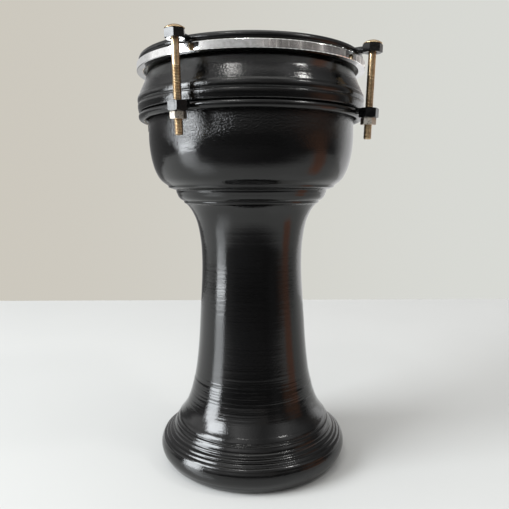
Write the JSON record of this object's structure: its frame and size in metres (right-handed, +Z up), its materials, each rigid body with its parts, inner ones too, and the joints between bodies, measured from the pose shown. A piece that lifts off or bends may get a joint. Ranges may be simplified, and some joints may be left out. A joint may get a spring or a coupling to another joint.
{
  "type": "goblet drum",
  "caption": "Goblet-shaped hand drum: turned clay shell with an open foot, plastic head in a metal hoop, and a black ring pulled down by long leaning bolts.",
  "frame": {"origin": "centre of the foot's resting ring, on the surface the drum stands on", "axes": "+Z up the drum's axis towards the head; +X through the first tuning bolt, +Y through the second"},
  "size_m": [0.286, 0.286, 0.4449],
  "materials": {
    "black_lacquer": "gloss lacquer over turned clay, fine orange peel",
    "film": "satin milky film",
    "hoop_metal": "polished",
    "resin": "cast, slightly glossy",
    "black_steel": "gloss black",
    "yellow_zinc": "yellow passivated zinc, satin"
  },
  "bodies": {
    "goblet": {"shell": "black_lacquer", "lower_ring": "black_steel", "lower_lug_1": "black_steel", "lower_lug_2": "black_steel", "lower_lug_3": "black_steel", "lower_lug_4": "black_steel", "lower_weld_1": "black_steel", "lower_weld_2": "black_steel", "lower_weld_3": "black_steel", "lower_weld_4": "black_steel"},
    "head": {"tension_ring": "black_steel", "head_hoop": "hoop_metal", "hoop_resin": "resin", "drumhead_film": "film", "upper_lug_1": "black_steel", "upper_lug_2": "black_steel", "upper_lug_3": "black_steel", "upper_lug_4": "black_steel", "upper_weld_1": "black_steel", "upper_weld_2": "black_steel", "upper_weld_3": "black_steel", "upper_weld_4": "black_steel"},
    "bolt_1": {"tuning_bolt_1": "yellow_zinc"},
    "nut_1": {"tuning_nut_1": "yellow_zinc"},
    "bolt_2": {"tuning_bolt_2": "yellow_zinc"},
    "nut_2": {"tuning_nut_2": "yellow_zinc"},
    "bolt_3": {"tuning_bolt_3": "yellow_zinc"},
    "nut_3": {"tuning_nut_3": "yellow_zinc"},
    "bolt_4": {"tuning_bolt_4": "yellow_zinc"},
    "nut_4": {"tuning_nut_4": "yellow_zinc"}
  },
  "joints": [
    {"name": "head_slack", "type": "slide", "parent": "goblet", "child": "head", "axis": [0, 0, 1], "range_m": [0, 0.012]},
    {"name": "bolt_slide_1", "type": "slide", "parent": "goblet", "child": "bolt_1", "axis": [0.041, 0, 0.9992], "range_m": [0, 0.0121]},
    {"name": "nut_turn_1", "type": "hinge", "parent": "goblet", "child": "nut_1", "pos_m": [0.13101, 0, 0.368], "axis": [0.041, 0, 0.9992], "range_deg": [-3460, 5]},
    {"name": "bolt_slide_2", "type": "slide", "parent": "goblet", "child": "bolt_2", "axis": [0, 0.041, 0.9992], "range_m": [0, 0.0121]},
    {"name": "nut_turn_2", "type": "hinge", "parent": "goblet", "child": "nut_2", "pos_m": [0, 0.13101, 0.368], "axis": [0, 0.041, 0.9992], "range_deg": [-3460, 5]},
    {"name": "bolt_slide_3", "type": "slide", "parent": "goblet", "child": "bolt_3", "axis": [-0.041, 0, 0.9992], "range_m": [0, 0.0121]},
    {"name": "nut_turn_3", "type": "hinge", "parent": "goblet", "child": "nut_3", "pos_m": [-0.13101, 0, 0.368], "axis": [-0.041, 0, 0.9992], "range_deg": [-3460, 5]},
    {"name": "bolt_slide_4", "type": "slide", "parent": "goblet", "child": "bolt_4", "axis": [0, -0.041, 0.9992], "range_m": [0, 0.0121]},
    {"name": "nut_turn_4", "type": "hinge", "parent": "goblet", "child": "nut_4", "pos_m": [0, -0.13101, 0.368], "axis": [0, -0.041, 0.9992], "range_deg": [-3460, 5]}
  ],
  "couplings": [
    {"joint": "bolt_slide_1", "follows": "head_slack", "ratio": 0.99916},
    {"joint": "nut_turn_1", "follows": "head_slack", "rad_per_m": -5026.5},
    {"joint": "bolt_slide_2", "follows": "head_slack", "ratio": 0.99916},
    {"joint": "nut_turn_2", "follows": "head_slack", "rad_per_m": -5026.5},
    {"joint": "bolt_slide_3", "follows": "head_slack", "ratio": 0.99916},
    {"joint": "nut_turn_3", "follows": "head_slack", "rad_per_m": -5026.5},
    {"joint": "bolt_slide_4", "follows": "head_slack", "ratio": 0.99916},
    {"joint": "nut_turn_4", "follows": "head_slack", "rad_per_m": -5026.5}
  ]
}
